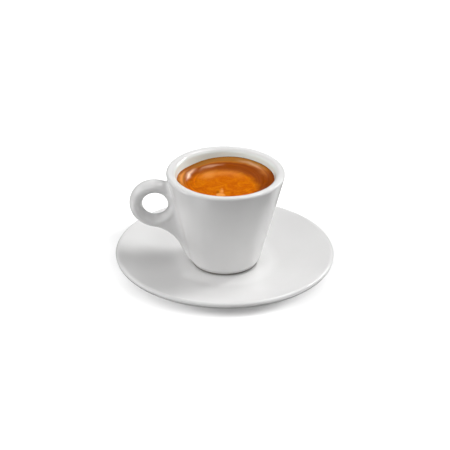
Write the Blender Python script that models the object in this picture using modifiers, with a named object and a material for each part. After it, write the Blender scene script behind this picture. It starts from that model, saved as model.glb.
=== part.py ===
"""An espresso in a thick porcelain cup with a ring handle, standing on its round saucer.

Metres, +Z up. The origin is the middle of the saucer's foot, on the axis that the saucer,
the cup and the drink are all turned about. The handle points to -X, so the whole object is
its own mirror image in the XZ plane.
"""
import math

import bmesh
import bpy

MM = 0.001

GAP = 0.3 * MM              # between pieces that rest on or fill each other
TURN_STEPS = 72             # facets round every turned piece

# Saucer: 120 mm across, a flat well for the cup and a straight flange up to a rounded lip
SAUCER_RADIUS = 60.0 * MM
SAUCER_LIP_ROUNDING = 1.6 * MM
SAUCER_LIP_HEIGHT = 12.0 * MM
WELL_HEIGHT = 7.0 * MM
WELL_RADIUS = 28.6 * MM
FLANGE_INNER_RADIUS = 32.6 * MM
FLANGE_INNER_HEIGHT = 7.9 * MM
SAUCER_THICKNESS = 3.8 * MM
SAUCER_FOOT_RADIUS = 34.6 * MM
SAUCER_FOOT_WIDTH = 2.8 * MM
SAUCER_FOOT_EDGE = 0.5 * MM

# Cup: a straight cone of thick porcelain on a low foot ring
CUP_TOP = 61.5 * MM         # the lip's top, above the saucer's foot
CUP_RADIUS = 32.0 * MM
CUP_TAPER = 0.252           # outward run for each unit of height
CUP_FOOT_HEIGHT = 1.8 * MM
CUP_FOOT_RADIUS = 18.6 * MM
CUP_FOOT_WIDTH = 2.2 * MM
CUP_EDGE_ROUNDING = 1.5 * MM
CUP_FLOOR_THICKNESS = 4.2 * MM
LIP_ROUNDING = 1.7 * MM
LIP_INNER_RUN = 3.0 * MM
LIP_INNER_DROP = 3.6 * MM
CAVITY_ROUNDING = 6.0 * MM

# Drink: filled to 4.5 mm below the top of the lip
DRINK_LEVEL = 57.0 * MM
CAVITY_RADIUS_AT_LEVEL = 27.0 * MM

# Handle: a ring of oval section, and a fin that runs from it down the cup to the foot
RING_CENTRE_X = -38.4 * MM
RING_CENTRE_Z = 42.0 * MM
RING_RADIUS = 10.2 * MM
RING_HALF_THICKNESS = 3.2 * MM
RING_HALF_WIDTH = 4.9 * MM
FIN_HALF_WIDTH = 4.2 * MM
FIN_EDGE_ROUNDING = 2.6 * MM
FIN_ARC_CENTRE_X = -45.0 * MM
FIN_ARC_CENTRE_Z = 6.1 * MM
FIN_ARC_END_Z = 16.0 * MM
FIN_TOE_X = -21.6 * MM
FIN_TOE_Z = 10.4 * MM
FIN_BURIAL = 2.0 * MM       # how far the fin reaches into the cup's wall

WALL_ANGLE = math.degrees(math.atan(CUP_TAPER))
CUP_SEAT = WELL_HEIGHT + GAP


def clear_scene():
    for item in list(bpy.data.objects):
        bpy.data.objects.remove(item)


def make_collection(name):
    group = bpy.data.collections.new(name)
    bpy.context.scene.collection.children.link(group)
    return group


def make_material(name, colour, roughness, coat):
    """A Principled material of one linear colour, with a clear coat where it is glazed."""
    material = bpy.data.materials.new(name)
    material.use_nodes = True
    shader = material.node_tree.nodes["Principled BSDF"]
    shader.inputs["Base Color"].default_value = (*colour, 1.0)
    shader.inputs["Roughness"].default_value = roughness
    shader.inputs["Metallic"].default_value = 0.0
    shader.inputs["Coat Weight"].default_value = coat
    material.diffuse_color = (*colour, 1.0)
    return material


def arc(centre, radii, start, end, count):
    """Points along an oval's arc, from one angle to another in degrees, ends included."""
    points = []
    for i in range(count + 1):
        angle = math.radians(start + (end - start) * i / count)
        points.append((centre[0] + radii[0] * math.cos(angle), centre[1] + radii[1] * math.sin(angle)))
    return points


def outer_radius(height):
    """The cup's straight outer wall, as a radius at a height."""
    return CUP_RADIUS - CUP_TAPER * (CUP_TOP - LIP_ROUNDING - height)


def cavity_radius(height, clearance):
    """The cup's straight inner wall, drawn in by a clearance measured square to it."""
    wall = CAVITY_RADIUS_AT_LEVEL - CUP_TAPER * (DRINK_LEVEL - height)
    return wall - clearance / math.cos(math.radians(WALL_ANGLE))


def cavity_bottom(clearance):
    """The rounded bottom of the cavity, from its flat floor up to its wall."""
    rounding = CAVITY_ROUNDING - clearance
    centre_height = CUP_SEAT + CUP_FOOT_HEIGHT + CUP_FLOOR_THICKNESS + CAVITY_ROUNDING
    centre_radius = cavity_radius(centre_height, clearance)
    centre_radius -= rounding / math.cos(math.radians(WALL_ANGLE))
    return arc((centre_radius, centre_height), (rounding, rounding), -90.0, -WALL_ANGLE, 5)


def turn(name, profile, group, closed=False, steps=TURN_STEPS):
    """A piece turned about Z from a (radius, height) profile that runs down its outer side.

    An open profile starts and ends on the axis, and a closed one is the section of a ring.
    """
    mesh = bpy.data.meshes.new(name)
    edges = [(i, i + 1) for i in range(len(profile) - 1)]
    if closed:
        edges.append((len(profile) - 1, 0))
    mesh.from_pydata([(radius, 0.0, height) for radius, height in profile], edges, [])
    piece = bpy.data.objects.new(name, mesh)
    group.objects.link(piece)
    screw = piece.modifiers.new("turned", "SCREW")
    screw.axis = "Z"
    screw.steps = steps
    screw.render_steps = steps
    screw.use_merge_vertices = True
    screw.merge_threshold = 0.00001
    screw.use_smooth_shade = True
    return piece


def saucer_profile():
    """Well, step, flange and lip on top, then the sloping underside and the foot ring."""
    lip = (SAUCER_RADIUS - SAUCER_LIP_ROUNDING, SAUCER_LIP_HEIGHT)
    flange = (FLANGE_INNER_RADIUS, FLANGE_INNER_HEIGHT)
    underside = WELL_HEIGHT - SAUCER_THICKNESS
    shoulder = (SAUCER_FOOT_RADIUS + 2.0 * SAUCER_FOOT_EDGE, underside + SAUCER_FOOT_EDGE)
    foot_inner = SAUCER_FOOT_RADIUS - SAUCER_FOOT_WIDTH
    top_slope = math.atan2(lip[1] + SAUCER_LIP_ROUNDING - flange[1], lip[0] - flange[0])
    under_slope = math.atan2(lip[1] - SAUCER_LIP_ROUNDING - shoulder[1], lip[0] - shoulder[0])
    rounding = (SAUCER_LIP_ROUNDING, SAUCER_LIP_ROUNDING)
    lip_arc = arc(lip, rounding, 90.0 + math.degrees(top_slope), math.degrees(under_slope) - 90.0, 8)
    step_middle = ((WELL_RADIUS + flange[0]) / 2.0, WELL_HEIGHT + (flange[1] - WELL_HEIGHT) / 3.0)
    return [
        (0.0, WELL_HEIGHT), (WELL_RADIUS, WELL_HEIGHT), step_middle, flange,
        *lip_arc,
        shoulder,
        (SAUCER_FOOT_RADIUS, underside - SAUCER_FOOT_EDGE),
        (SAUCER_FOOT_RADIUS, SAUCER_FOOT_EDGE),
        (SAUCER_FOOT_RADIUS - SAUCER_FOOT_EDGE, 0.0),
        (foot_inner + SAUCER_FOOT_EDGE, 0.0),
        (foot_inner, SAUCER_FOOT_EDGE),
        (foot_inner - SAUCER_FOOT_EDGE, underside),
        (0.0, underside),
    ]


def cup_profile():
    """Cavity floor and wall, the lip over the top, then the outer cone down to the foot."""
    lip = (CUP_RADIUS - LIP_ROUNDING, CUP_TOP - LIP_ROUNDING)
    inner_lip = (lip[0], CUP_TOP - LIP_INNER_DROP)
    bottom = CUP_SEAT + CUP_FOOT_HEIGHT
    edge_height = bottom + CUP_EDGE_ROUNDING
    edge_radius = outer_radius(edge_height) - CUP_EDGE_ROUNDING / math.cos(math.radians(WALL_ANGLE))
    edge = arc((edge_radius, edge_height), (CUP_EDGE_ROUNDING, CUP_EDGE_ROUNDING), -WALL_ANGLE, -80.0, 3)
    foot_inner = CUP_FOOT_RADIUS - CUP_FOOT_WIDTH
    return [
        (0.0, bottom + CUP_FLOOR_THICKNESS),
        *cavity_bottom(0.0),
        *arc(inner_lip, (LIP_INNER_RUN, LIP_INNER_DROP), 170.0, 90.0, 6),
        *arc(lip, (LIP_ROUNDING, LIP_ROUNDING), 60.0, -WALL_ANGLE, 3),
        *edge,
        (CUP_FOOT_RADIUS, bottom),
        (CUP_FOOT_RADIUS - 0.2 * MM, CUP_SEAT),
        (foot_inner, CUP_SEAT),
        (foot_inner - 0.6 * MM, bottom - 0.3 * MM),
        (0.0, bottom - 0.3 * MM),
    ]


def drink_profile():
    """A flat surface at the drink's level, then the cavity's own wall and bottom, one gap in."""
    floor = CUP_SEAT + CUP_FOOT_HEIGHT + CUP_FLOOR_THICKNESS + GAP
    wall_and_bottom = list(reversed(cavity_bottom(GAP)))
    return [
        (0.0, DRINK_LEVEL),
        (cavity_radius(DRINK_LEVEL, GAP), DRINK_LEVEL),
        *wall_and_bottom,
        (0.0, floor),
    ]


def fin_outline():
    """The fin's outline in (x, z): round the ring's middle, down inside the wall, out to the
    toe, and back up a hollow arc that leaves the ring's outside without a corner."""
    ring = (RING_CENTRE_X, RING_CENTRE_Z)
    arc_centre = (FIN_ARC_CENTRE_X, FIN_ARC_CENTRE_Z)
    between = math.dist(ring, arc_centre)
    arc_radius = between - RING_RADIUS - RING_HALF_THICKNESS
    touch = math.degrees(math.atan2(ring[1] - arc_centre[1], ring[0] - arc_centre[0]))
    arc_end = math.degrees(math.asin((FIN_ARC_END_Z - FIN_ARC_CENTRE_Z) / arc_radius))
    top_z = RING_CENTRE_Z + 0.5 * RING_RADIUS
    inside = [
        (FIN_BURIAL - outer_radius(height), height)
        for height in (top_z, RING_CENTRE_Z, FIN_TOE_Z)
    ]
    return [
        *arc(ring, (RING_RADIUS, RING_RADIUS), touch - 180.0, 30.0, 8),
        *inside,
        (FIN_TOE_X, FIN_TOE_Z),
        *arc(arc_centre, (arc_radius, arc_radius), arc_end, touch, 8),
    ]


def make_fin(group):
    """The fin as a flat plate of its outline with rounded edges."""
    outline = fin_outline()
    curve = bpy.data.curves.new("fin", "CURVE")
    curve.dimensions = "2D"
    curve.fill_mode = "BOTH"
    curve.extrude = FIN_HALF_WIDTH
    spline = curve.splines.new("POLY")
    spline.points.add(len(outline) - 1)
    for point, (x, z) in zip(spline.points, outline):
        point.co = (x, z, 0.0, 1.0)
    spline.use_cyclic_u = True
    plate = bpy.data.objects.new("fin_curve", curve)
    plate.rotation_euler = (math.radians(90.0), 0.0, 0.0)
    group.objects.link(plate)
    bpy.context.view_layer.update()
    evaluated = plate.evaluated_get(bpy.context.evaluated_depsgraph_get())
    mesh = bpy.data.meshes.new_from_object(evaluated)
    caps = bmesh.new()
    caps.from_mesh(mesh)
    bmesh.ops.remove_doubles(caps, verts=caps.verts, dist=0.00001)
    bmesh.ops.dissolve_limit(caps, angle_limit=0.001, verts=caps.verts, edges=caps.edges)
    caps.to_mesh(mesh)
    caps.free()
    fin = bpy.data.objects.new("fin", mesh)
    fin.matrix_world = plate.matrix_world.copy()
    group.objects.link(fin)
    bpy.data.objects.remove(plate)
    rounded = fin.modifiers.new("rounded edges", "BEVEL")
    rounded.width = FIN_EDGE_ROUNDING
    rounded.segments = 3
    rounded.limit_method = "ANGLE"
    rounded.angle_limit = math.radians(50.0)
    return fin


def make_ring(group):
    """The handle's ring: an oval section turned about an axis square to the handle."""
    section = arc((RING_RADIUS, 0.0), (RING_HALF_THICKNESS, RING_HALF_WIDTH), 90.0, -270.0, 14)
    ring = turn("ring", section[:-1], group, closed=True, steps=40)
    ring.rotation_euler = (math.radians(90.0), 0.0, 0.0)
    ring.location = (RING_CENTRE_X, 0.0, RING_CENTRE_Z)
    return ring


def fuse(piece, addition):
    """Joins an addition to a piece, and keeps the addition only as a guide."""
    union = piece.modifiers.new("with " + addition.name, "BOOLEAN")
    union.operation = "UNION"
    union.solver = "EXACT"
    union.object = addition
    addition.hide_render = True
    addition.display_type = "WIRE"


def finish(piece, material):
    piece.data.materials.append(material)
    return piece


def build():
    clear_scene()
    parts = make_collection("espresso_shot")
    guides = make_collection("handle_guides")
    porcelain = make_material("glazed white porcelain", (0.86, 0.86, 0.85), 0.12, 0.6)
    crema = make_material("crema", (0.46, 0.14, 0.012), 0.35, 0.0)

    finish(turn("saucer", saucer_profile(), parts), porcelain)
    cup = finish(turn("cup", cup_profile(), parts), porcelain)
    fuse(cup, make_ring(guides))
    fuse(cup, make_fin(guides))
    finish(turn("espresso", drink_profile(), parts), crema)


build()
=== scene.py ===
"""A single espresso with its crema, in a thick white porcelain cup on its round saucer."""
import math

import bpy
import numpy as np
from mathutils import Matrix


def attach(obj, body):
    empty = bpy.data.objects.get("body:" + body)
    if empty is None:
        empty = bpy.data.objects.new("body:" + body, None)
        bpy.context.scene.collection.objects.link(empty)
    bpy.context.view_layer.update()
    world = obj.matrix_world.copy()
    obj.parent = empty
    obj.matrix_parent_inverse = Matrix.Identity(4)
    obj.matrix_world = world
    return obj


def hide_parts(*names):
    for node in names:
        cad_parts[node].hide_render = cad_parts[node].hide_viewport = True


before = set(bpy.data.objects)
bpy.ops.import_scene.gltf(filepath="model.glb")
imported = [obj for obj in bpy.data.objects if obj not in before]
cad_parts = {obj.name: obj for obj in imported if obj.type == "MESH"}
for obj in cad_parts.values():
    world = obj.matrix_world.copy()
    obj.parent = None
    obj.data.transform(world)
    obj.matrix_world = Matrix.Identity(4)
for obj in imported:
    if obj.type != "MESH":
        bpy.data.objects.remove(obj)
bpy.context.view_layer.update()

# Saucer: a round plate of thick white hotel porcelain, roller-made on a turned mould, so that every
# face of it is a surface of revolution. It is glazed all over but for the narrow sole of its foot
# ring, which is wiped bare so that the saucer doesn't stick to the kiln shelf.
MM = 0.001                        # sizes, heights and radii below are in millimetres
PORCELAIN_GREY_WHITE = "#EEEDED"
PORCELAIN_POOLED = "#E7E7E6"
# painted light: a cooler white for the inside that cancels the warm light bounced from the crema
PORCELAIN_PAINTED_COOL = "#E9F4F1"
PORCELAIN_IOR = 1.5
GLAZE_ROUGHNESS = 0.18
GLAZE_POOL_SIZE = 22.2
GLAZE_WAVE_SIZE = 6.25
GLAZE_WAVE_DEPTH = 0.3
GLAZE_WAVE_STRENGTH = 0.05
BARE_BISCUIT = "#CFCAC0"
BISCUIT_ROUGHNESS = 0.7
SAUCER_WELL = 7.0
SAUCER_CORNERS = [                # radius, height, rounding: from the well over the lip to the underside
    (0.0, SAUCER_WELL, 0.0),
    (28.8, SAUCER_WELL, 26.0),
    (46.0, 10.75, 60.0),
    (60.0, 13.95, 1.6),
    (60.0, 10.8, 1.6),
    (36.0, 4.3, 3.0),
    (34.6, 3.2, 0.8),
    (34.4, 0.0, 0.6),
    (31.8, 0.0, 0.6),
    (31.4, 3.2, 1.2),
    (0.0, 3.2, 0.0),
]
SAUCER_SOLE = 0.25                # the foot ring is wiped bare up to here
SAUCER_STEP = 0.8
SAUCER_AROUND = 256
TINY = 1e-6                       # a length under this counts as none


def linear(hex_colour):
    """An sRGB hex colour as linear red, green, blue and a full alpha."""
    parts = np.array([int(hex_colour[i:i + 2], 16) for i in (1, 3, 5)]) / 255.0
    light = np.where(parts <= 0.04045, parts / 12.92, ((parts + 0.055) / 1.055) ** 2.4)
    return (*light, 1.0)


def rounded_path(corners, step):
    """A path through corners of radius, height and rounding, in millimetres.

    Each corner gives way to the arc that touches both its straights, which starts at rounding times the
    tangent of half the turn before it. Straights and arcs are then cut into equal steps.
    """
    corners = np.array(corners)
    pieces = [corners[:1, :2]]
    for before, corner, after in zip(corners, corners[1:], corners[2:]):
        arriving = (corner - before)[:2] / np.linalg.norm((corner - before)[:2])
        leaving = (after - corner)[:2] / np.linalg.norm((after - corner)[:2])
        turn = math.atan2(arriving[0] * leaving[1] - arriving[1] * leaving[0], arriving @ leaving)
        rounding = corner[2]
        inward = np.sign(turn) * np.array([-arriving[1], arriving[0]])
        centre = corner[:2] - rounding * math.tan(abs(turn) / 2) * arriving + rounding * inward
        angle = np.linspace(0.0, turn, 2 + int(abs(turn) * rounding / (0.5 * step)))
        spoke = np.stack([
            -inward[0] * np.cos(angle) + inward[1] * np.sin(angle),
            -inward[0] * np.sin(angle) - inward[1] * np.cos(angle),
        ], -1)
        pieces.append(centre + rounding * spoke)
    pieces.append(corners[-1:, :2])
    path = np.concatenate(pieces)
    length = np.linalg.norm(np.diff(path, axis=0), axis=1)
    path = path[np.concatenate([[True], length > TINY])]
    distance = np.concatenate([[0.0], np.cumsum(np.linalg.norm(np.diff(path, axis=0), axis=1))])
    cuts = [
        np.linspace(start, end, max(1, math.ceil((end - start) / step)), endpoint=False)
        for start, end in zip(distance, distance[1:])
    ]
    places = np.concatenate([*cuts, distance[-1:]])
    return np.stack([np.interp(places, distance, path[:, i]) for i in (0, 1)], -1)


def closed_rings(name, rings):
    """A closed mesh from rings of points, (ring, place, xyz) in millimetres, from its top to its bottom.

    The first and the last ring lie on the axis and become one point each.
    """
    count, around = rings.shape[:2]
    points = np.concatenate([rings[0, :1], rings[1:-1].reshape(-1, 3), rings[-1, :1]]) * MM
    place = np.arange(around)
    beside = (place + 1) % around
    row = 1 + around * np.arange(count - 3)[:, None]
    quads = np.stack([row + place, row + around + place, row + around + beside, row + beside], -1)
    last_row = 1 + around * (count - 3)
    top = np.stack([np.zeros_like(place), 1 + place, 1 + beside], -1)
    bottom = np.stack([np.full_like(place, len(points) - 1), last_row + beside, last_row + place], -1)
    faces = [*quads.reshape(-1, 4).tolist(), *top.tolist(), *bottom.tolist()]
    mesh = bpy.data.meshes.new(name)
    mesh.from_pydata(points.tolist(), [], faces)
    mesh.shade_smooth()
    return mesh


def turned(path, around):
    """Rings from a (radius, height) path carried round Z: x = r cos a, y = r sin a, z = height."""
    angle = np.linspace(0.0, 2.0 * math.pi, around, endpoint=False)
    radius, height = path[:, 0, None], path[:, 1, None]
    return np.stack([radius * np.cos(angle), radius * np.sin(angle), height + 0.0 * angle], -1)


def add_node(tree, kind, settings=None, **links):
    """One shader node with its settings and what is linked to its sockets, by name or number."""
    node = tree.nodes.new(kind)
    for name, value in (settings or {}).items():
        if isinstance(name, int) or name in node.inputs:
            node.inputs[name].default_value = value
        else:
            setattr(node, name, value)
    for name, source in links.items():
        socket = node.inputs[int(name[1:])] if name[0] == "_" else node.inputs[name.replace("_", " ")]
        tree.links.new(source, socket)
    return node


def porcelain_material(name, bare_height, bare_colour):
    """Glazed porcelain: a white body under a clear, glossy glaze, with its foot left bare.

    The glaze pools a little and so varies by a hair in tone over a few centimetres; its surface has the
    faint waviness of a sprayed glaze. Where a mesh marks it, the white is painted cooler to cancel the
    warm light that the crema bounces onto it.
    Below the bare height the biscuit is matt, in the bare colour given; on the cup's foot that colour is
    darker with wear and with painted shade of the narrow gap under the cup.
    """
    material = bpy.data.materials.new(name)
    material.use_nodes = True
    tree = material.node_tree
    shader = tree.nodes["Principled BSDF"]
    place = add_node(tree, "ShaderNodeTexCoord").outputs["Object"]
    pooling = add_node(
        tree, "ShaderNodeTexNoise", {"Scale": 1.0 / (GLAZE_POOL_SIZE * MM), "Detail": 2.0}, Vector=place
    )
    tone = add_node(
        tree, "ShaderNodeMix",
        {"data_type": "RGBA", 6: linear(PORCELAIN_GREY_WHITE), 7: linear(PORCELAIN_POOLED)},
        _0=pooling.outputs["Fac"],
    )
    painted_cool = add_node(tree, "ShaderNodeAttribute", {"attribute_name": "painted_cool_inside"}).outputs["Fac"]
    glaze = add_node(
        tree, "ShaderNodeMix", {"data_type": "RGBA", 7: linear(PORCELAIN_PAINTED_COOL)},
        _0=painted_cool, _6=tone.outputs[2],
    )
    height = add_node(tree, "ShaderNodeSeparateXYZ", Vector=place).outputs["Z"]
    bare = add_node(tree, "ShaderNodeMath", {"operation": "LESS_THAN", 1: bare_height * MM}, _0=height)
    colour = add_node(
        tree, "ShaderNodeMix", {"data_type": "RGBA", 7: linear(bare_colour)},
        _0=bare.outputs[0], _6=glaze.outputs[2],
    )
    rough = add_node(
        tree, "ShaderNodeMapRange", {"To Min": GLAZE_ROUGHNESS, "To Max": BISCUIT_ROUGHNESS},
        Value=bare.outputs[0],
    )
    waves = add_node(
        tree, "ShaderNodeTexNoise", {"Scale": 1.0 / (GLAZE_WAVE_SIZE * MM), "Detail": 1.0}, Vector=place
    )
    bump = add_node(
        tree, "ShaderNodeBump", {"Strength": GLAZE_WAVE_STRENGTH, "Distance": GLAZE_WAVE_DEPTH * MM},
        Height=waves.outputs["Fac"],
    )
    tree.links.new(colour.outputs[2], shader.inputs["Base Color"])
    tree.links.new(rough.outputs["Result"], shader.inputs["Roughness"])
    tree.links.new(bump.outputs["Normal"], shader.inputs["Normal"])
    shader.inputs["IOR"].default_value = PORCELAIN_IOR
    return material


table_pieces = []


def add_piece(name, mesh, material, node):
    """Puts a mesh in the scene as a piece that rides on the root body in place of a CAD node, and in the
    list of what the boxes for the cup and saucer light."""
    piece = bpy.data.objects.new(name, mesh)
    mesh.materials.append(material)
    bpy.context.scene.collection.objects.link(piece)
    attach(piece, "root")
    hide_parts(node)
    table_pieces.append(piece)


saucer_path = rounded_path(SAUCER_CORNERS, SAUCER_STEP)
add_piece(
    "saucer_porcelain",
    closed_rings("saucer_porcelain", turned(saucer_path, SAUCER_AROUND)),
    porcelain_material("glazed porcelain saucer", SAUCER_SOLE, BARE_BISCUIT),
    "saucer",
)

# Cup: a thick-walled cone of the same porcelain, slip-cast in one piece with its handle. The handle is a
# round ring whose lower side runs on as a fin down the cup to its foot, and the mould rounds every
# place where ring, fin and cup meet, so that the whole cup is one flowing surface.
CUP_TOP = 61.5
CUP_RADIUS = 32.0
CUP_TAPER = 0.252                 # run outwards for each unit of height
LIP_ROUNDING = 1.7
LIP_INNER_ROUNDING = 2.2
CUP_UNDERSIDE = 8.5
CUP_EDGE_ROUNDING = 2.2
CUP_SEAT = 7.3                    # height of the foot ring's sole
CUP_FOOT_RADIUS = 18.2
CUP_FOOT_WIDTH = 2.2
CUP_FOOT_ROUNDING = 0.4
CUP_FOOT_MELT = 0.8
CUP_FOOT_GLAZE_END = CUP_UNDERSIDE - 0.1
# the bare foot ring: worn biscuit, darkened further with painted shade under the cup
WORN_AND_SHADED_FOOT = "#7E7B77"
CAVITY_FLOOR = 13.3
CAVITY_ROUNDING = 6.0
DRINK_LEVEL = 57.0
CAVITY_RADIUS_AT_LEVEL = 26.4
RING_CENTRE = (-38.4, 41.9)       # x and z of the handle's ring
RING_RADIUS = 10.3
RING_HALF_THICKNESS = 3.1
RING_SWELL = 0.4                  # half thickness gained at its upper left and lost at its lower right
RING_HALF_WIDTH = 4.9
FIN_ARC_CENTRE = (-45.0, 6.1)     # the hollow arc under the handle
FIN_ARC_END_HEIGHT = 17.0
FIN_HALF_WIDTH = 4.7
FIN_TAPER = 0.03
FIN_ROUNDING = 3.2
FIN_INSET = 0.5                   # the hollow arc runs this far inside the ring's outline
FIN_TOP = 49.0
FIN_END = -18.0                   # x of its end, inside the cup
RING_MELT = 2.5                   # reach of the soft rounding where ring and fin meet,
HANDLE_MELT = 6.5                 # and where both meet the cup
PAINTED_COOL_FADE = 1.0                  # the painted cooler white of the inside fades out over this at the lip
WALL_SLANT = math.cos(math.atan(CUP_TAPER))
CUP_GRID_TURNS = 200
CUP_GRID_EVENNESS = 0.36          # 1 spaces the turns evenly, and less crowds them at the handle
CUP_GRID_RADII = [                # from, to, step
    (0.0, 15.0, 1.5),
    (15.0, 33.0, 0.5),
    (33.0, 53.5, 0.55),
]
CUP_GRID_HEIGHTS = [
    (6.85, 9.55, 0.3),
    (9.55, 57.0, 0.6),
    (57.0, 62.5, 0.3),
]


def rounded_overlap(a, b, rounding):
    """Signed distance to what lies in both shapes, with a rounded edge between them.

    With both distances raised by the rounding, the edge is where the length of their positive parts
    equals the rounding.
    """
    a, b = a + rounding, b + rounding
    return np.minimum(np.maximum(a, b), 0.0) + np.hypot(np.maximum(a, 0.0), np.maximum(b, 0.0)) - rounding


def melted(a, b, reach):
    """Signed distance to two shapes melted together: the smaller, less a sixth of the reach times the
    cube of how near the two are to each other."""
    near = np.maximum(reach - np.abs(a - b), 0.0) / reach
    return np.minimum(a, b) - near ** 3 * reach / 6.0


def handle_distance(x, y, z):
    """Signed distance to the handle: an oval tube bent into a ring, melted into the fin.

    The tube swells towards the ring's upper left and thins towards its lower right, by the cosine of the
    angle between. The fin is a plate with rounded edges. Its outline lies outside the hollow arc and the
    straight that leaves the arc for the foot, outside the ring's middle line, and right of the line of
    both centres.
    """
    ring_x, ring_z = x - RING_CENTRE[0], z - RING_CENTRE[1]
    from_ring = np.hypot(ring_x, ring_z)
    outward = from_ring - RING_RADIUS
    upper_left = (ring_z - ring_x) / np.maximum(from_ring * math.sqrt(2.0), TINY)
    half_thickness = RING_HALF_THICKNESS + RING_SWELL * upper_left
    oval = np.hypot(outward / half_thickness, y / RING_HALF_WIDTH)
    slope = np.hypot(outward / half_thickness ** 2, y / RING_HALF_WIDTH ** 2)
    ring = oval * (oval - 1.0) / np.maximum(slope, TINY)

    span = np.subtract(RING_CENTRE, FIN_ARC_CENTRE)
    arc_radius = np.hypot(*span) - RING_RADIUS - RING_HALF_THICKNESS + FIN_INSET
    end = math.asin((FIN_ARC_END_HEIGHT - FIN_ARC_CENTRE[1]) / arc_radius)
    arc_x, arc_z = x - FIN_ARC_CENTRE[0], z - FIN_ARC_CENTRE[1]
    on_arc = np.arctan2(arc_z, arc_x) > end
    reached = np.where(on_arc, np.hypot(arc_x, arc_z), arc_x * math.cos(end) + arc_z * math.sin(end))
    left = (span[0] * arc_z - span[1] * arc_x) / np.hypot(*span)
    outline = np.maximum.reduce([
        arc_radius - reached, RING_RADIUS - from_ring, left, z - FIN_TOP, x - FIN_END,
    ])
    half_width = FIN_HALF_WIDTH - FIN_TAPER * (RING_CENTRE[1] - z)
    fin = rounded_overlap(outline, np.abs(y) - half_width, FIN_ROUNDING)
    fin = rounded_overlap(fin, CUP_UNDERSIDE - z, CUP_EDGE_ROUNDING)
    return melted(ring, fin, RING_MELT)


def cup_distance(x, y, z):
    """Signed distance to the cup: cone and handle melted together, with foot ring, less the cavity."""
    radius = np.hypot(x, y)
    cone = (radius - CUP_RADIUS - CUP_TAPER * (z - CUP_TOP + LIP_ROUNDING)) * WALL_SLANT
    outside = rounded_overlap(cone, CUP_UNDERSIDE - z, CUP_EDGE_ROUNDING)
    outside = melted(outside, handle_distance(x, y, z), HANDLE_MELT)
    outside = rounded_overlap(outside, z - CUP_TOP, LIP_ROUNDING)
    foot_side = np.abs(radius - CUP_FOOT_RADIUS + CUP_FOOT_WIDTH / 2.0) - CUP_FOOT_WIDTH / 2.0
    foot_height = np.abs(z - CUP_UNDERSIDE) - (CUP_UNDERSIDE - CUP_SEAT)
    foot = rounded_overlap(foot_side, foot_height, CUP_FOOT_ROUNDING)
    outside = melted(outside, foot, CUP_FOOT_MELT)
    cavity_wall = (radius - CAVITY_RADIUS_AT_LEVEL - CUP_TAPER * (z - DRINK_LEVEL)) * WALL_SLANT
    cavity = rounded_overlap(cavity_wall, CAVITY_FLOOR - z, CAVITY_ROUNDING)
    return rounded_overlap(outside, -cavity, LIP_INNER_ROUNDING)


def slope_of(distance, points):
    """The distance's slope at points, from its change over a hundredth of a millimetre each way."""
    reach = 0.01
    columns = []
    for axis in range(3):
        step = np.zeros(3)
        step[axis] = reach
        columns.append((distance(*(points + step).T) - distance(*(points - step).T)) / (2.0 * reach))
    return np.stack(columns, -1)


def level_surface(name, distance, angles, radii, heights):
    """The surface where a distance is zero, found on a grid of angles, radii and heights.

    Each grid cell that it crosses gets one point, the mean of where it cuts the cell's edges, and each
    grid edge that it cuts gets a face between the four cells round that edge, or a fan on the axis. Then
    every point slides down the distance's slope onto the surface, which also gives it its normal.
    """
    a, r, h = np.meshgrid(angles, radii, heights, indexing="ij")
    nodes = np.stack([r * np.cos(a), r * np.sin(a), h], -1)
    values = distance(nodes[..., 0], nodes[..., 1], nodes[..., 2])
    size = np.array(values.shape)
    total = np.zeros((*size, 4))
    faces = []
    for axis in range(3):
        step, side, rise = np.roll(np.eye(3, dtype=int), -axis, axis=0)
        changes = (values < 0.0) != (np.roll(values, -1, axis) < 0.0)
        if axis:
            changes[(slice(None),) * axis + (-1,)] = False
        here = np.argwhere(changes)
        there = (here + step) % size
        low, high = values[tuple(here.T)], values[tuple(there.T)]
        share = (low / (low - high))[:, None]
        cut = nodes[tuple(here.T)] * (1.0 - share) + nodes[tuple(there.T)] * share
        cells = np.stack([here - side - rise, here - rise, here, here - side], 1)
        cells[low > 0.0] = cells[low > 0.0][:, ::-1]
        cells = cells[:, ::-1]
        cells[..., 0] %= size[0]
        real = cells[..., 1] >= 0
        owner = cells[real]
        cut_of_owner = np.repeat(cut, real.sum(1), axis=0)
        np.add.at(total, tuple(owner.T), np.append(cut_of_owner, np.ones((len(owner), 1)), 1))
        faces.append(cells[real.all(1)])
    faces = np.ravel_multi_index(tuple(np.moveaxis(np.concatenate(faces), -1, 0)), size)
    used, faces = np.unique(faces, return_inverse=True)
    faces = faces.reshape(-1, 4)
    sums = total.reshape(-1, 4)[used]
    points = sums[:, :3] / sums[:, 3:]
    fans = []
    for level in np.flatnonzero((values[0, 0, :-1] < 0.0) != (values[0, 0, 1:] < 0.0)):
        cells = np.ravel_multi_index((np.arange(size[0]), 0, level), size)
        ring = np.searchsorted(used, cells)
        share = values[0, 0, level] / (values[0, 0, level] - values[0, 0, level + 1])
        hub = heights[level] + share * (heights[level + 1] - heights[level])
        facing_up = values[0, 0, level] < 0.0
        ring = ring if facing_up else ring[::-1]
        fans.append(np.stack([np.full_like(ring, len(points)), ring, np.roll(ring, -1)], -1))
        points = np.append(points, [[0.0, 0.0, hub]], 0)
    slides = 4
    for _ in range(slides):
        slope = slope_of(distance, points)
        points -= slope * (distance(*points.T) / (slope ** 2).sum(-1))[:, None]
    normals = slope_of(distance, points)
    normals /= np.linalg.norm(normals, axis=1)[:, None]
    mesh = bpy.data.meshes.new(name)
    mesh.from_pydata((points * MM).tolist(), [], [*faces.tolist(), *np.concatenate(fans).tolist()])
    mesh.shade_smooth()
    mesh.normals_split_custom_set_from_vertices(normals.tolist())
    return mesh


def points_of(mesh):
    """A mesh's points in millimetres."""
    points = np.empty(3 * len(mesh.vertices))
    mesh.vertices.foreach_get("co", points)
    return points.reshape(-1, 3) / MM


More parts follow.
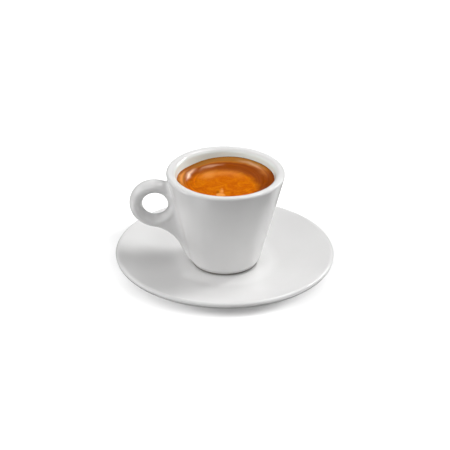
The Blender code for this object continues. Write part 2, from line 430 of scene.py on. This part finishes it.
half_turns = np.linspace(-1.0, 1.0, CUP_GRID_TURNS, endpoint=False)
crowded = CUP_GRID_EVENNESS * half_turns + (1.0 - CUP_GRID_EVENNESS) * half_turns ** 3
cup_mesh = level_surface(
    "cup_porcelain", cup_distance, math.pi * (1.0 + crowded),
    np.concatenate([np.arange(*stretch) for stretch in CUP_GRID_RADII]),
    np.concatenate([np.arange(*stretch) for stretch in CUP_GRID_HEIGHTS]),
)
cup_across, cup_back, cup_height = points_of(cup_mesh).T
cavity_radius = CAVITY_RADIUS_AT_LEVEL + CUP_TAPER * (cup_height - DRINK_LEVEL)
past_cavity = np.hypot(cup_across, cup_back) - cavity_radius
# the inside of the cup, up to the lip, takes the painted cooler white
inside = np.clip(1.0 - past_cavity / PAINTED_COOL_FADE, 0.0, 1.0) * (cup_height > CAVITY_FLOOR - PAINTED_COOL_FADE)
cup_mesh.attributes.new("painted_cool_inside", "FLOAT", "POINT").data.foreach_set("value", inside)
add_piece(
    "cup_porcelain",
    cup_mesh,
    porcelain_material("glazed porcelain cup", CUP_FOOT_GLAZE_END, WORN_AND_SHADED_FOOT),
    "cup",
)

# Espresso: the drink itself, a dark coffee that fills the cup to just under its lip, with the crema on
# top, a layer of fine brown foam. The foam has settled in a round pool that lies towards the front,
# and behind it the wet coffee shows in a crescent that climbs to a narrow ledge along the wall. The
# crescent's dark brown is wet coffee and painted shade, where the climb turns away from the light.
LEDGE_LEVEL = 57.05
LEDGE_RADIUS = 20.6
LEDGE_RIGHT_SHIFT = 3.6           # the ledge thins out against the wall on the right,
LEDGE_RIGHT_SIDE = (0.6, 1.0)     # between these cosines of the azimuth
LEDGE_AZIMUTH = 84.0              # the middle of the ledge's brown stretch, degrees from +X
LEDGE_STRETCH = (0.3, 0.75)       # cosines of the angle from its middle where it ends and is full
LEDGE_BROWNING = (-1.0, 1.4)      # how far behind its edge the brown starts and is full
LEDGE_CLIMB_END = 1.0             # the climb from the pool ends this far behind its edge
POOL_CENTRE = (-2.5, -7.0)
POOL_RADIUS = 20.5
POOL_DEPTH = 1.4
POOL_DARKENING = (-3.6, 2.0)        # how far past the pool's edge the dark of wet coffee and painted shade starts and is full
POOL_RISE_BEHIND = (-6.0, 0.5)    # the same for the climb, where the pool runs behind the ledge's edge
WALL_OVERLAP = 0.15               # the drink reaches this far into the wall, so that no gap shows
FLOOR_OVERLAP = 0.05
DRINK_EDGE_RADIUS = CAVITY_RADIUS_AT_LEVEL + WALL_OVERLAP
DRINK_FLOOR = CAVITY_FLOOR - FLOOR_OVERLAP
DRINK_FLOOR_STEP = 1.5
CREMA_RINGS = 118
DRINK_AROUND = 256
FROTH_PATCH = (-2.6, -16.6)       # a patch of paler, coarser froth near the front
FROTH_PATCH_RADIUS = 2.5
FROTH_HEIGHT = 0.3
FROTH_TAIL = (-1.9, -11.6)
FROTH_TAIL_RADIUS = 0.9
WALL_LINE_DEPTH = 0.1             # how much darker the foam is along the wall,
WALL_LINE_RADII = (24.8, 26.4)    # and between which radii it turns so
BACK_LEFT_DEPTH = 0.18            # the line is broader and darker here
BACK_LEFT_RADII = (22.5, 25.0)
BACK_LEFT_AZIMUTH = 126.0
RIGHT_FRONT_SHADOW_DEPTH = 0.22          # painted shadow of the wall, a dark arc just off it
RIGHT_FRONT_RADIUS = 23.6
RIGHT_FRONT_HALF_WIDTH = 1.3
RIGHT_FRONT_AZIMUTH = -28.6
DARK_SPOT = (-4.0, -12.6)
DARK_SPOT_DEPTH = 0.35
SWIRLS = [                        # whole turns round the cup, radians for each millimetre outwards
    (1, 1.9),
    (-2, 2.7),
    (3, 3.6),
    (-1, 4.9),
]
SWIRL_DEPTH = 0.045
# painted highlights and reflections where the crema climbs, with real gloss on them
PAINTED_HIGHLIGHT_STREAKS = [                  # radius, first and last azimuth, half width, strength, gloss
    (20.9, 136.0, 184.0, 1.0, 1.0, 1.0),
    (18.6, 86.0, 148.0, 0.9, 0.45, 0.35),
    (22.8, 22.0, 80.0, 1.2, 0.42, 0.3),
]
WARM_SHEEN_STREAKS = [                  # lighter orange foam with painted sheen, along the wall and round the middle of the pool
    (24.2, 140.0, 214.0, 1.6, 0.95),
    (12.0, 98.0, 178.0, 3.2, 0.65),
    (10.0, 0.0, 180.0, 3.0, 0.4),
    (22.6, 0.0, 52.0, 1.4, 0.3),
]
STREAK_FADE = 0.45                # the share of a streak's length over which each end fades
WET_GLOSS = 0.12
EDGE_WAVES = [                    # azimuth, half width and rise of the waves along the wall
    (75.0, 25.0, 0.4),
    (137.0, 20.0, -0.7),
]
RIPPLE_HEIGHT = 0.05
SURFACE_TILT = 0.016              # the cup stands a degree out of level, and the drink in it doesn't
CREMA_LIGHT = "#DA7D02"
CREMA_ORANGE = "#CF6A00"
CREMA_DEEP = "#C05800"
# the crescent: dark wet coffee, darkened further with painted shade
CREMA_WET_AND_SHADE = "#924200"
# the ledge: brown foam whose tint holds a painted sheen of the back light
CREMA_LEDGE_AND_SHEEN = "#A86C2A"
# paler froth, and painted sheen on the warm streaks
CREMA_WARM_AND_SHEEN = "#EC9A4A"
# painted highlight
CREMA_PAINTED_HIGHLIGHT = "#F5C29C"
ZONE_TINTS = [                    # each laid over those before it
    ("wet_and_shade", CREMA_WET_AND_SHADE),
    ("ledge_and_sheen", CREMA_LEDGE_AND_SHEEN),
    ("warm_and_sheen", CREMA_WARM_AND_SHEEN),
    ("painted_highlight", CREMA_PAINTED_HIGHLIGHT),
]
CREMA_MOTTLE = [                  # where each colour stands in the mottling
    (0.48, CREMA_DEEP),
    (0.68, CREMA_ORANGE),
    (0.9, CREMA_LIGHT),
]
CREMA_MOTTLE_SIZE = 5.26
CREMA_BUBBLE_SIZE = 0.91          # far coarser than real bubbles, which are too fine to show
CREMA_BUBBLE_SHARE = 0.35
CREMA_BUMP_DEPTH = 0.2
CREMA_BUMP_STRENGTH = 0.2
CREMA_ROUGHNESS = 0.5
CREMA_SPECULAR = 0.03
COFFEE_IOR = 1.33
COFFEE_OIL_IOR = 1.5
COFFEE_OIL_ROUGHNESS = 0.1
GOLDEN_ANGLE = math.pi * (3.0 - math.sqrt(5.0))


def eased(low, high, value):
    """0 below low and 1 above high, with a smooth rise between them, the square of the share times 3 less
    twice the share. With low above high it falls instead."""
    share = np.clip((value - low) / (high - low), 0.0, 1.0)
    return share * share * (3.0 - 2.0 * share)


def ripples(x, y, size, count=9):
    """An uneven wavering between about -1 and 1: sine waves near one length, each turned by the golden
    angle from the last and a little shorter."""
    total = np.zeros_like(x)
    for wave in range(count):
        turn = wave * GOLDEN_ANGLE
        pace = 2.0 * math.pi / size * (0.7 + 0.6 * wave / count)
        total += np.sin(pace * (x * math.cos(turn) + y * math.sin(turn)) + 1.7 * wave * wave)
    return total / math.sqrt(count) / 1.5


def streak(x, y, radius, first, last, half_width):
    """A streak along an arc: a bell across its middle line that fades out over both its ends."""
    azimuth = np.degrees(np.arctan2(y, x)) % 360.0
    off_middle = np.hypot(x, y) - radius + 0.5 * ripples(x, y, 6.0)
    across = np.exp(-(off_middle / half_width) ** 2)
    fade = STREAK_FADE * (last - first)
    return across * eased(first, first + fade, azimuth) * (1.0 - eased(last - fade, last, azimuth))


def past_pool_edge(x, y):
    """How far a place lies past the pool's edge: its distance from the pool's centre, less the radius."""
    return np.hypot(x - POOL_CENTRE[0], y - POOL_CENTRE[1]) - POOL_RADIUS


def past_ledge_edge(radius, azimuth):
    """How far a place lies behind the ledge's edge, a circle round the cup that moves out to the wall on
    the right."""
    return radius - LEDGE_RADIUS - LEDGE_RIGHT_SHIFT * eased(*LEDGE_RIGHT_SIDE, np.cos(azimuth))


def crema_zones(x, y):
    """How wet, brown as the ledge, warm, pale and glossy the crema is at a place, each 0 to 1.

    Wet and ledge fade in across the wavering edges of pool and ledge. Warm is the larger of the froth
    patch with its tail and the warm streaks, and pale and glossy are the largest of the pale streaks. Wet
    carries painted shade, the ledge and the warm streaks painted sheen, and pale is painted highlights
    and reflections.
    """
    radius, azimuth = np.hypot(x, y), np.arctan2(y, x)
    waver = 0.5 * ripples(x, y, 9.0) + 0.25 * ripples(y, x, 3.1)
    ledge_and_sheen = eased(*LEDGE_BROWNING, past_ledge_edge(radius, azimuth) + 0.6 * waver)
    ledge_and_sheen *= eased(*LEDGE_STRETCH, np.cos(azimuth - math.radians(LEDGE_AZIMUTH)))
    wet_and_shade = eased(*POOL_DARKENING, past_pool_edge(x, y) + waver) * (1.0 - ledge_and_sheen)
    patch = FROTH_PATCH_RADIUS - np.hypot(x - FROTH_PATCH[0], (y - FROTH_PATCH[1]) * 1.1)
    tail = FROTH_TAIL_RADIUS - np.hypot(x - FROTH_TAIL[0], (y - FROTH_TAIL[1]) * 0.35)
    warm_and_sheen = eased(-0.5, 0.7, np.maximum(patch, tail) + 0.3 * ripples(x, y, 1.7))
    for *shape, strength in WARM_SHEEN_STREAKS:
        warm_and_sheen = np.maximum(warm_and_sheen, strength * streak(x, y, *shape))
    gloss = WET_GLOSS * wet_and_shade
    painted_highlight = np.zeros_like(x)
    for *shape, strength, shine in PAINTED_HIGHLIGHT_STREAKS:
        amount = streak(x, y, *shape)
        painted_highlight = np.maximum(painted_highlight, strength * amount)
        gloss = np.maximum(gloss, shine * amount)
    return wet_and_shade, ledge_and_sheen, warm_and_sheen, painted_highlight, gloss


def crema_tone(x, y):
    """How light the crema is: 1, with swirls drawn out round the cup, less what is darker.

    The swirls are sine waves of the radius plus a whole number of turns of the azimuth. Darker are a
    line along the whole wall, a broader one at the back left, an arc at the right front, which is a
    painted shadow of the wall, and a spot behind the froth.
    """
    radius, azimuth = np.hypot(x, y), np.arctan2(y, x)
    swirls = np.zeros_like(x)
    for turns, pace in SWIRLS:
        swirls += np.sin(pace * radius + turns * azimuth + 2.0 * pace)
    wall_line = WALL_LINE_DEPTH * eased(*WALL_LINE_RADII, radius)
    back_left = BACK_LEFT_DEPTH * eased(*BACK_LEFT_RADII, radius)
    back_left *= eased(0.75, 1.0, np.cos(azimuth - math.radians(BACK_LEFT_AZIMUTH)))
    from_arc = (radius - RIGHT_FRONT_RADIUS) / RIGHT_FRONT_HALF_WIDTH
    right_front_shadow = RIGHT_FRONT_SHADOW_DEPTH * np.exp(-from_arc ** 2)
    right_front_shadow *= eased(0.85, 1.0, np.cos(azimuth - math.radians(RIGHT_FRONT_AZIMUTH)))
    spot = DARK_SPOT_DEPTH * eased(1.3, 0.2, np.hypot(x - DARK_SPOT[0], 0.5 * (y - DARK_SPOT[1])))
    darker = wall_line + back_left + right_front_shadow + spot
    return 1.0 + SWIRL_DEPTH * swirls * eased(10.0, 19.0, radius) - darker


def crema_height(x, y):
    """The crema's height: the pool's level, a climb from its edge to the ledge, the froth's low mound,
    waves along the wall, fine ripples and the tilt.

    The climb is eased over the way from pool to ledge: how far a place is past the pool's edge, over
    that and how far it is from the ledge together. Behind the ledge's edge only the pool's edge counts.
    """
    radius, azimuth = np.hypot(x, y), np.arctan2(y, x)
    past_pool = past_pool_edge(x, y)
    past_ledge = past_ledge_edge(radius, azimuth) - LEDGE_CLIMB_END
    whole_way = np.maximum(past_pool + np.maximum(-past_ledge, 0.0), TINY)
    share = np.clip(past_pool / whole_way, 0.0, 1.0)
    share = np.where(past_ledge > 0.0, eased(*POOL_RISE_BEHIND, past_pool), share)
    climb = eased(0.0, 1.0, share)
    patch = FROTH_PATCH_RADIUS - np.hypot(x - FROTH_PATCH[0], y - FROTH_PATCH[1])
    uneven = RIPPLE_HEIGHT * (ripples(x, y, 5.0) + 0.5 * ripples(y, x, 2.2))
    level = LEDGE_LEVEL - POOL_DEPTH * (1.0 - climb) + FROTH_HEIGHT * eased(-0.5, 0.8, patch)
    for middle, half_width, rise in EDGE_WAVES:
        away = (np.degrees(azimuth) - middle) / half_width
        level += rise * np.exp(-away ** 2) * eased(19.0, 25.0, radius)
    return level + SURFACE_TILT * x + uneven * eased(0.0, 1.0, DRINK_EDGE_RADIUS - radius)


def drink_rings(around):
    """Rings of the drink: the crema with its relief, then the cavity's wall and floor."""
    surface = np.linspace((0.0, LEDGE_LEVEL), (DRINK_EDGE_RADIUS, LEDGE_LEVEL), CREMA_RINGS)
    deep = rounded_path([
        (DRINK_EDGE_RADIUS, LEDGE_LEVEL, 0.0),
        (DRINK_EDGE_RADIUS - CUP_TAPER * (LEDGE_LEVEL - DRINK_FLOOR), DRINK_FLOOR, CAVITY_ROUNDING),
        (0.0, DRINK_FLOOR, 0.0),
    ], DRINK_FLOOR_STEP)
    rings = turned(np.concatenate([surface, deep[1:]]), around)
    crema = rings[:CREMA_RINGS]
    crema[..., 2] = crema_height(crema[..., 0], crema[..., 1])
    return rings


def crema_material():
    """Crema: a foam of coffee oils, whose fine bubbles scatter light and leave it almost matt.

    Its orange is mottled over one to six millimetres. In the crescent the coffee shows through, dark
    and wet, and painted shade darkens it further; the ledge's brown holds a painted sheen. Streaks and
    the froth are paler: the warm streaks with painted sheen, the pale streaks as painted highlights and
    reflections. Where the foam climbs the wall it shines.
    """
    material = bpy.data.materials.new("espresso crema")
    material.use_nodes = True
    tree = material.node_tree
    shader = tree.nodes["Principled BSDF"]
    place = add_node(tree, "ShaderNodeTexCoord").outputs["Object"]
    broad = add_node(
        tree, "ShaderNodeTexNoise",
        {"Scale": 1.0 / (CREMA_MOTTLE_SIZE * MM), "Detail": 3.0, "Roughness": 0.6, "Distortion": 0.8},
        Vector=place,
    )
    fine = add_node(
        tree, "ShaderNodeTexNoise", {"Scale": 1.0 / (CREMA_BUBBLE_SIZE * MM), "Detail": 2.0}, Vector=place
    )
    both = add_node(
        tree, "ShaderNodeMath", {"operation": "MULTIPLY_ADD", 1: CREMA_BUBBLE_SHARE},
        _0=fine.outputs["Fac"], _2=broad.outputs["Fac"],
    )
    mottle = add_node(tree, "ShaderNodeValToRGB", _0=both.outputs[0])
    stops = mottle.color_ramp.elements
    for stop, tint in CREMA_MOTTLE:
        stops.new(stop).color = linear(tint)
    stops.remove(stops[0])
    stops.remove(stops[-1])
    colour = mottle.outputs["Color"]
    for zone, tint in ZONE_TINTS:
        mask = add_node(tree, "ShaderNodeAttribute", {"attribute_name": zone}).outputs["Fac"]
        mix = add_node(tree, "ShaderNodeMix", {"data_type": "RGBA", 7: linear(tint)}, _0=mask, _6=colour)
        colour = mix.outputs[2]
    # tone: swirls, less darker lines, among them the painted shadow of the wall at the right front
    tone = add_node(tree, "ShaderNodeAttribute", {"attribute_name": "tone"}).outputs["Fac"]
    toned = add_node(
        tree, "ShaderNodeMix", {"data_type": "RGBA", "blend_type": "MULTIPLY", 0: 1.0}, _6=colour, _7=tone
    )
    tree.links.new(toned.outputs[2], shader.inputs["Base Color"])
    shader.inputs["Roughness"].default_value = CREMA_ROUGHNESS
    shader.inputs["IOR"].default_value = COFFEE_IOR
    shader.inputs["Specular IOR Level"].default_value = CREMA_SPECULAR
    gloss = add_node(tree, "ShaderNodeAttribute", {"attribute_name": "gloss"}).outputs["Fac"]
    tree.links.new(gloss, shader.inputs["Coat Weight"])
    shader.inputs["Coat Roughness"].default_value = COFFEE_OIL_ROUGHNESS
    shader.inputs["Coat IOR"].default_value = COFFEE_OIL_IOR
    bump = add_node(
        tree, "ShaderNodeBump", {"Strength": CREMA_BUMP_STRENGTH, "Distance": CREMA_BUMP_DEPTH * MM},
        Height=both.outputs[0],
    )
    tree.links.new(bump.outputs["Normal"], shader.inputs["Normal"])
    return material


drink_mesh = closed_rings("espresso_drink", drink_rings(DRINK_AROUND))
drink_across, drink_back = points_of(drink_mesh)[:, :2].T
zones = (*crema_zones(drink_across, drink_back), crema_tone(drink_across, drink_back))
for zone, amount in zip(("wet_and_shade", "ledge_and_sheen", "warm_and_sheen", "painted_highlight", "gloss", "tone"), zones):
    drink_mesh.attributes.new(zone, "FLOAT", "POINT").data.foreach_set("value", amount)
add_piece("espresso_drink", drink_mesh, crema_material(), "espresso")

# Stage: a floor of matt white paper, soft studio light from boxes all round, and a camera that looks
# down on the cup from the front. The cup and saucer have boxes of their own, the lowest of which stand
# for the light that the paper sends up, and the paper has others.
FLOOR_HALF = 3.0                  # this section's sizes are in metres, but for the lens
FLOOR_WHITE = "#FAFAFA"
FLOOR_ROUGHNESS = 0.9
CAMERA_TARGET = (0.0, 0.0, 28.67 * MM)
CAMERA_ELEVATION = 28.33
CAMERA_DISTANCE = 1.0952
CAMERA_ROLL = 0.61
CAMERA_LENS = 160.0
CAMERA_NEAREST = 0.01
LIGHT_DISTANCE = 1.5
TABLE_LIGHTS = [                  # azimuth from the back towards the right, elevation, size, power
    ("key", 60.0, 42.0, 0.28, 4.5),
    ("high_key", 45.0, 60.0, 0.30, 5.2),
    ("overhead_key", 80.0, 74.0, 0.30, 1.7),
    ("window", 58.0, 22.0, 0.65, 7.5),
    ("front_right", 120.0, 42.0, 0.70, 4.9),
    ("front_left", 210.0, 42.0, 0.70, 5.3),
    ("low_left", 240.0, 24.0, 0.70, 4.6),
    ("left", 270.0, 24.0, 0.70, 4.0),
    ("back_left", 300.0, 24.0, 0.70, 2.5),
    ("back", 0.0, 42.0, 0.70, 1.2),
    ("back_rim", 0.0, 8.0, 0.70, 0.5),
    ("bounce_front_right", 120.0, -10.0, 0.60, 2.5),
    ("bounce_right", 90.0, -25.0, 0.60, 2.6),
    ("bounce_back_right", 45.0, -25.0, 0.90, 2.4),
    ("bounce_left", 270.0, -25.0, 0.60, 4.2),
    ("bounce_front_left", 225.0, -25.0, 0.60, 2.0),
    ("under_lip_right", 100.0, -55.0, 0.40, 0.9),
    ("under_lip_left", 240.0, -55.0, 0.40, 1.0),
]
FLOOR_LIGHTS = [                  # the same
    ("paper_front", 180.0, 42.0, 0.55, 5.4),
    ("paper_front_right", 150.0, 42.0, 0.55, 9.6),
    ("paper_front_left", 210.0, 42.0, 0.55, 6.1),
    ("paper_low_right", 90.0, 24.0, 0.55, 18.5),
    ("paper_low_left", 240.0, 24.0, 0.55, 20.2),
    ("paper_back", 0.0, 8.0, 0.55, 29.2),
]
ROOM_TONE = 0.02                  # the dim room behind the lights


def light_group(name, pieces):
    """A collection of pieces for soft boxes to be linked to, so that they light nothing else."""
    group = bpy.data.collections.new(name)
    for piece in pieces:
        group.objects.link(piece)
    return group


def softbox(name, azimuth, elevation, size, power, receivers):
    """A square area light on a sphere round the cup, aimed at it, that lights the receivers alone."""
    light = bpy.data.lights.new(name, "AREA")
    light.size = size
    light.energy = power
    box = bpy.data.objects.new(name, light)
    turn, rise = math.radians(azimuth), math.radians(elevation)
    way = (math.cos(rise) * math.sin(turn), math.cos(rise) * math.cos(turn), math.sin(rise))
    box.location = [LIGHT_DISTANCE * part + middle for part, middle in zip(way, CAMERA_TARGET)]
    box.rotation_euler = (math.pi / 2.0 - rise, 0.0, math.pi - turn)
    bpy.context.scene.collection.objects.link(box)
    box.light_linking.receiver_collection = receivers


floor_mesh = bpy.data.meshes.new("floor")
floor_mesh.from_pydata(
    [(x * FLOOR_HALF, y * FLOOR_HALF, 0.0) for x, y in ((-1, -1), (1, -1), (1, 1), (-1, 1))],
    [], [(0, 1, 2, 3)],
)
floor = bpy.data.objects.new("floor", floor_mesh)
# Paper: uncoated and matt, so that it takes soft shadows and mirrors nothing.
floor_paper = bpy.data.materials.new("white paper floor")
floor_paper.use_nodes = True
floor_shader = floor_paper.node_tree.nodes["Principled BSDF"]
floor_shader.inputs["Base Color"].default_value = linear(FLOOR_WHITE)
floor_shader.inputs["Roughness"].default_value = FLOOR_ROUGHNESS
floor_shader.inputs["Specular IOR Level"].default_value = 0.0
floor_mesh.materials.append(floor_paper)
bpy.context.scene.collection.objects.link(floor)
floor.visible_diffuse = False     # the low boxes stand for what it would send up
floor.visible_glossy = False
floor.visible_shadow = False

table_set = light_group("table set", table_pieces)
paper = light_group("paper", [floor])
for light_row in TABLE_LIGHTS:
    softbox(*light_row, table_set)
for light_row in FLOOR_LIGHTS:
    softbox(*light_row, paper)

world = bpy.data.worlds.new("dim room")
world.use_nodes = True
world.node_tree.nodes["Background"].inputs["Color"].default_value = (ROOM_TONE, ROOM_TONE, ROOM_TONE, 1.0)
bpy.context.scene.world = world
bpy.context.scene.view_settings.view_transform = "Standard"

camera_data = bpy.data.cameras.new("camera")
camera_data.lens = CAMERA_LENS
camera_data.clip_start = CAMERA_NEAREST
camera = bpy.data.objects.new("camera", camera_data)
elevation = math.radians(CAMERA_ELEVATION)
camera.location = (
    CAMERA_TARGET[0],
    CAMERA_TARGET[1] - CAMERA_DISTANCE * math.cos(elevation),
    CAMERA_TARGET[2] + CAMERA_DISTANCE * math.sin(elevation),
)
camera.rotation_mode = "ZYX"
camera.rotation_euler = (math.pi / 2.0 - elevation, 0.0, math.radians(CAMERA_ROLL))
bpy.context.scene.collection.objects.link(camera)
bpy.context.scene.camera = camera
